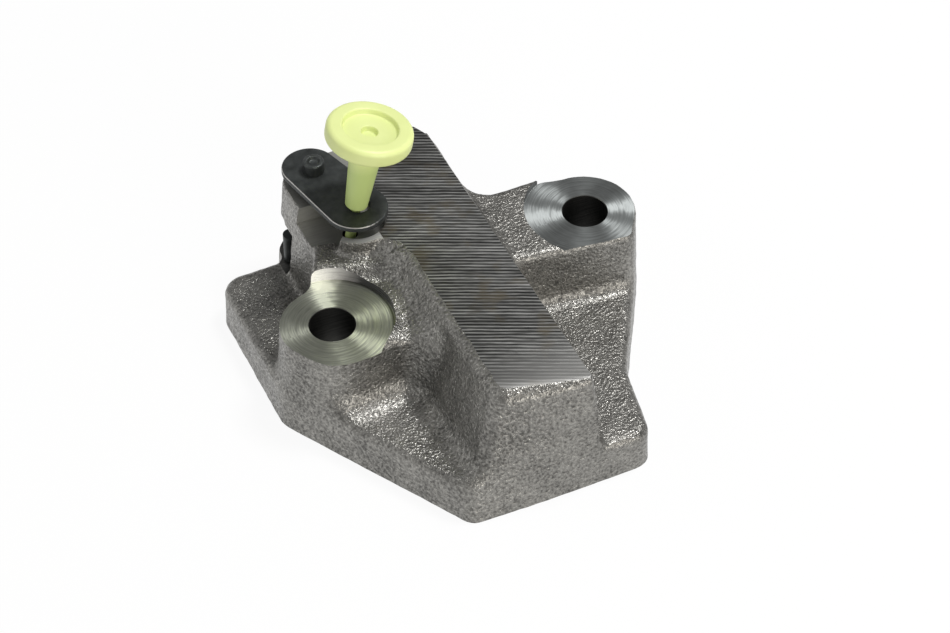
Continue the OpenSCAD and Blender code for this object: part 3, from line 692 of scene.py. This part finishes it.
points, quads = raw_casting()
body = mesh_piece("cast_body", points, quads, [CAST])
bolt_cutter("left_spot", LEFT_BOLT, LEFT_PAD, LEFT_TURNED_GLINTS, LEFT_BORED_PAINTED_LIGHT)
bolt_cutter("right_spot", RIGHT_BOLT, RIGHT_PAD, RIGHT_TURNED_GLINTS, RIGHT_BORED_PAINTED_LIGHT)
ridge_top = [(-WIDE, -WIDE), (WIDE, -WIDE), (WIDE, WIDE), (MILL_LEFT, WIDE), (MILL_LEFT, MILL_NEAR),
             (-WIDE, MILL_NEAR)]
cutter("top_mill", prism(ridge_top, RIDGE_H, OVER), [MILLED])
tower_top = box_outline(-WIDE, MILL_LEFT + 0.05, MILL_NEAR - 0.1, WIDE)
cutter("tower_mill", prism(tower_top, RIDGE_H, OVER), [POCKET])
# The strip round the pocket takes the rim's painted highlight
cutter("rim_mill", prism(arc(POCKET_AT, 7.6, 73, 287, ROUND_STEPS), RIDGE_H - 0.06, OVER), [RIM_PAINTED_HIGHLIGHT])
cutter("base_mill", prism(box_outline(-WIDE, WIDE, -WIDE, WIDE), -20, 0), [MACHINED])
cutter("far_mill", prism(box_outline(-WIDE, WIDE, FAR, WIDE), -20, OVER + 10), [MACHINED])
pocket = prism(pocket_outline(), POCKET_Z, OVER + 10)
round_end = np.arange(len(pocket[1])) - 2
cutter("pocket", pocket, [POCKET, RIM_PAINTED_HIGHLIGHT], (round_end >= 0) & (round_end < ROUND_STEPS - 1))
cutter("slot", prism(slot_outline(), *SLOT_Z), [DRILLED_PAINTED_SHADE])
chamber_end = BORE_END - CHAMBER_LEN
bore = [(0, chamber_end), (CHAMBER_R, chamber_end), (CHAMBER_R, BORE_END), (BORE_R, BORE_END),
        (BORE_R, FAR - 1), (BORE_R + 2, FAR + 1), (BORE_R + 2, OVER + 10), (0, OVER + 10)]
cutter("bore", lathe(bore, 96, (AXIS[0], 0, AXIS[1]), UP_Y), [MACHINED])
feed = [(0, -5), (FEED_R + 5.3, -5), (FEED_R, 0.3), (FEED_R, AXIS[1]), (0, AXIS[1])]
cutter("feed", lathe(feed, 40, (AXIS[0], BORE_END - CHAMBER_LEN / 2, 0)), [DRILLED_PAINTED_SHADE])
pin_hole = [(0, 3), (PIN_HOLE_R, 3), (PIN_HOLE_R, OVER), (0, OVER)]
cutter("pin_hole", lathe(pin_hole, 48, (*PIVOT, 0)), [DRILLED_PAINTED_SHADE])
lock_hole = [(0, LOCK_HOLE_Z), (LOCK_HOLE_R, LOCK_HOLE_Z), (LOCK_HOLE_R, OVER), (0, OVER)]
cutter("lock_hole", lathe(lock_hole, 40, (*LOCK_HOLE, 0)), [DRILLED_PAINTED_SHADE])

cut = body.modifiers.new("machining", "BOOLEAN")
cut.operation = "DIFFERENCE"
cut.operand_type = "COLLECTION"
cut.collection = CUTTERS
cut.solver = "MANIFOLD"
cut.material_mode = "TRANSFER"


def apply_cuts(obj):
    """Makes a piece's modifiers part of its mesh."""
    view = bpy.context.evaluated_depsgraph_get()
    mesh = bpy.data.meshes.new_from_object(obj.evaluated_get(view))
    obj.modifiers.clear()
    obj.data = mesh


def shade(obj, angle):
    """Smooth faces, with edges kept sharp where they turn more than the angle in degrees."""
    obj.data.shade_smooth()
    obj.data.set_sharp_from_angle(angle=math.radians(angle))


apply_cuts(body)
for one in list(CUTTERS.objects):
    bpy.data.objects.remove(one)
bpy.data.collections.remove(CUTTERS)
shade(body, 38)
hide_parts("housing")
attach(body, "housing")


# Lever, pivot pin and lock pin

def wear_and_highlight(obj, values):
    """Per point, how far the finish is rubbed off, and how strong a painted highlight is."""
    layer = obj.data.attributes.new("wear_and_highlight", "FLOAT", "POINT")
    layer.data.foreach_set("value", np.asarray(values, np.float32))


def looped(rows):
    """A surface from rows of points that closes in both directions."""
    count, sides = rows.shape[:2]
    i = np.arange(count)[:, None] * sides
    n = ((np.arange(count) + 1) % count)[:, None] * sides
    j = np.arange(sides)[None]
    k = (j + 1) % sides
    return rows.reshape(-1, 3), np.stack([i + j, i + k, n + k, n + j], -1).reshape(-1, 4)


def lever_outline():
    """Oblong: a disc beyond the pivot and one at the lock pin, with straight sides, anticlockwise."""
    run = np.array(LOCK) - np.array(PLATE_FAR)
    lie = math.degrees(math.atan2(run[1], run[0]))
    side = math.degrees(math.acos((PLATE_FAR_R - PLATE_LOCK_R) / np.linalg.norm(run)))
    return np.concatenate([arc(PLATE_FAR, PLATE_FAR_R, lie + side, lie + 360 - side, 60),
                           arc(LOCK, PLATE_LOCK_R, lie - side, lie + side, 60)])


def even(outline, count):
    """The outline's points spaced evenly along it."""
    closed = np.concatenate([outline, outline[:1]])
    length = np.concatenate([[0], np.cumsum(np.linalg.norm(np.diff(closed, axis=0), axis=1))])
    at = np.linspace(0, length[-1], count, endpoint=False)
    return np.stack([np.interp(at, length, closed[:, i]) for i in range(2)], 1)


def inset(outline, by):
    """The outline drawn in by a small distance along its own normals."""
    run = np.roll(outline, -1, 0) - np.roll(outline, 1, 0)
    run /= np.linalg.norm(run, axis=1)[:, None]
    return outline + by * np.column_stack([-run[:, 1], run[:, 0]])


def lever():
    """Flat lever: its outline and the lock pin's hole joined over top and bottom, with rolled edges. The
    edge is painted bright as a highlight on the side that faces left and near."""
    outline = even(lever_outline(), 220)
    out = outline - PLATE_HOLE
    hole = PLATE_HOLE + PLATE_HOLE_R * out / np.linalg.norm(out, axis=1)[:, None]
    half = hole + (outline - hole) * 0.5
    low, high = PLATE_Z
    rows = [(hole, high - 0.15, 0.0), (hole + (outline - hole) * 0.03, high, 0.0), (half, high, 0.0)]
    for turn in np.radians([0, 30, 60, 90]):
        edge = inset(outline, 0.25 * (1 - math.sin(turn)))
        rows.append((edge, high - 0.25 * (1 - math.cos(turn)), math.sin(2 * turn)))
    rows += [(outline, low + 0.2, 0.0), (inset(outline, 0.2), low, 0.0), (half, low, 0.0), (hole, low, 0.0)]
    grid = np.stack([np.column_stack([p, np.full(len(p), z)]) for p, z, _ in rows])
    obj = mesh_piece("lever", *looped(grid[::-1]), [BLACK])
    # Painted highlight: the rolled edge is made bright on the side that faces left and near
    facing = np.clip((outline - inset(outline, 1.0)) @ (-0.8, -0.6) + 0.25, 0, 1)
    wear_and_highlight(obj, np.outer([w for _, _, w in rows[::-1]], facing).ravel())
    shade(obj, 40)
    return obj


def stud():
    """Pivot pin with a rolled rim and a dimple in its top."""
    top = STUD_TOP
    corners = np.array([(0, STUD_LOW), (PIN_R, STUD_LOW), (PIN_R, top), (PIN_R * 0.62, top),
                        (PIN_R * 0.45, top - 0.55), (0, top - 0.7)])
    profile = rounded(corners, np.array([0, 0.3, 0.35, 0.2, 0.3, 0]))
    points, faces, _ = lathe(profile, 64, (*PIVOT, 0))
    obj = mesh_piece("stud", points, faces, [BLACK])
    rim = np.abs(points[:, 2] - top) < 0.25
    wear_and_highlight(obj, np.where(rim, 0.25, 0.0))
    shade(obj, 40)
    return obj


def pull_pin():
    """Moulded pin about its own axis: blade, tapered stem, and a dished head with a dimple."""
    corners = np.array([(0, -9), (1, -9), (1, 0), (2.1, 0), (3.2, 14.8), (8.05, 14.8), (8.05, 18.2),
                        (5.25, 18.2), (4.95, 17.1), (1.6, 17.1), (1.3, 16.0), (0, 16.0)])
    radius = np.array([0, 0.35, 0.15, 0.3, 0.7, 0.9, 1.0, 0.35, 0.3, 0.25, 0.3, 0])
    c, s = math.cos(LOCK_LEAN), math.sin(LOCK_LEAN)
    points, faces, _ = lathe(rounded(corners, radius), 96, (*LOCK, PLATE_Z[1] + LOCK_LIFT),
                             [[c, 0, s], [0, 1, 0], [-s, 0, c]])
    obj = mesh_piece("pull_pin", points, faces, [PLASTIC])
    shade(obj, 45)
    return obj


for piece, node, body_name, slot in ((lever(), "lever_plate", "pawl", "black_oxide"),
                                     (stud(), "pivot_pin", "pawl", "black_oxide"),
                                     (pull_pin(), "lock_pin", "lock_pin", "pin_plastic")):
    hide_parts(node)
    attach(piece, body_name)

NODE_FINISH = {"plunger": STEEL, "vent_disc": STEEL, "valve_seat": STEEL, "check_ball": STEEL,
               "pawl": BLACK, "plunger_spring": WIRE, "ball_spring": WIRE, "ball_cage": WIRE,
               "lever_spring": WIRE}
for node, finish in NODE_FINISH.items():
    for place in frame["nodes"][node].material_slots:
        place.material = finish


# Camera, floor and light

TURN = math.radians(65.0)
PITCH = math.radians(45.5)
CAMERA_AT = (-0.15314, -0.33458, 0.38159)
FOCAL = 2800                    # in pixels
IMAGE_W = 950
SENSOR = 36.0
FLOOR_REACH = 2500
FLOOR_Z = -0.05

forward = np.array([math.cos(TURN) * math.cos(PITCH), math.sin(TURN) * math.cos(PITCH), -math.sin(PITCH)])
across = np.array([math.sin(TURN), -math.cos(TURN), 0.0])
above = np.cross(across, forward)
camera = bpy.data.objects.new("camera", bpy.data.cameras.new("camera"))
bpy.context.scene.collection.objects.link(camera)
pose = np.eye(4)
pose[:3, :3] = np.column_stack([across, above, -forward])
pose[:3, 3] = CAMERA_AT
camera.matrix_world = Matrix(pose.tolist())
camera.data.sensor_width = SENSOR
camera.data.lens = FOCAL / IMAGE_W * SENSOR
camera.data.clip_start = 0.01
bpy.context.scene.camera = camera


def lamp(name, at, size, power, colour=(1, 1, 1)):
    """A square soft lamp at a place in metres, turned to the origin."""
    data = bpy.data.lights.new(name, "AREA")
    data.size = size
    data.energy = power
    data.color = colour
    obj = bpy.data.objects.new(name, data)
    bpy.context.scene.collection.objects.link(obj)
    back = np.array(at, float)
    back /= np.linalg.norm(back)
    side = np.cross([0.0, 1.0, 0.001], back)
    side /= np.linalg.norm(side)
    turn = np.eye(4)
    turn[:3, :3] = np.column_stack([side, np.cross(back, side), back])
    turn[:3, 3] = at
    obj.matrix_world = Matrix(turn.tolist())


lamp("overhead", (0.3, -0.02, 0.8), 0.22, 5.3)
lamp("left", (-0.7, 0.2, 0.42), 0.6, 1.15)
lamp("front", (0.15, -0.9, 0.28), 0.6, 4.6, (1.0, 0.96, 0.90))

world = bpy.data.worlds.new("studio")
bpy.context.scene.world = world
world.use_nodes = True
sky = world.node_tree.nodes["Background"].inputs
sky["Color"].default_value = (0.29, 0.29, 0.29, 1)
sky["Strength"].default_value = 1.0


def floor_finish():
    """Pale floor that the camera and reflections see as near white, and that still takes the shadow."""
    made = bpy.data.materials.new("floor")
    made.use_nodes = True
    tree = made.node_tree
    start = Shade(tree)
    camera_ray = start.add("ShaderNodeLightPath", out=0)
    glossy_ray = start.add("ShaderNodeLightPath", out=3)
    through_ray = start.add("ShaderNodeLightPath", out=6)
    seen = camera_ray.math("MAXIMUM", camera_ray, camera_ray.math("MAXIMUM", glossy_ray, through_ray))
    matte = start.add("ShaderNodeBsdfDiffuse", {"Color": (0.85, 0.85, 0.85, 1)})
    white = start.add("ShaderNodeEmission", {"Color": (1, 1, 1, 1), "Strength": 1.0})
    both = start.add("ShaderNodeMixShader", {0: seen * 0.92, 1: matte, 2: white})
    tree.links.new(both.socket, tree.nodes["Material Output"].inputs["Surface"])
    return made


floor_plan = box_outline(-FLOOR_REACH, FLOOR_REACH, -FLOOR_REACH, FLOOR_REACH)
floor = mesh_piece("floor", [(x, y, FLOOR_Z) for x, y in floor_plan], [(0, 1, 2, 3)], [floor_finish()])
bpy.context.scene.view_settings.view_transform = "Standard"
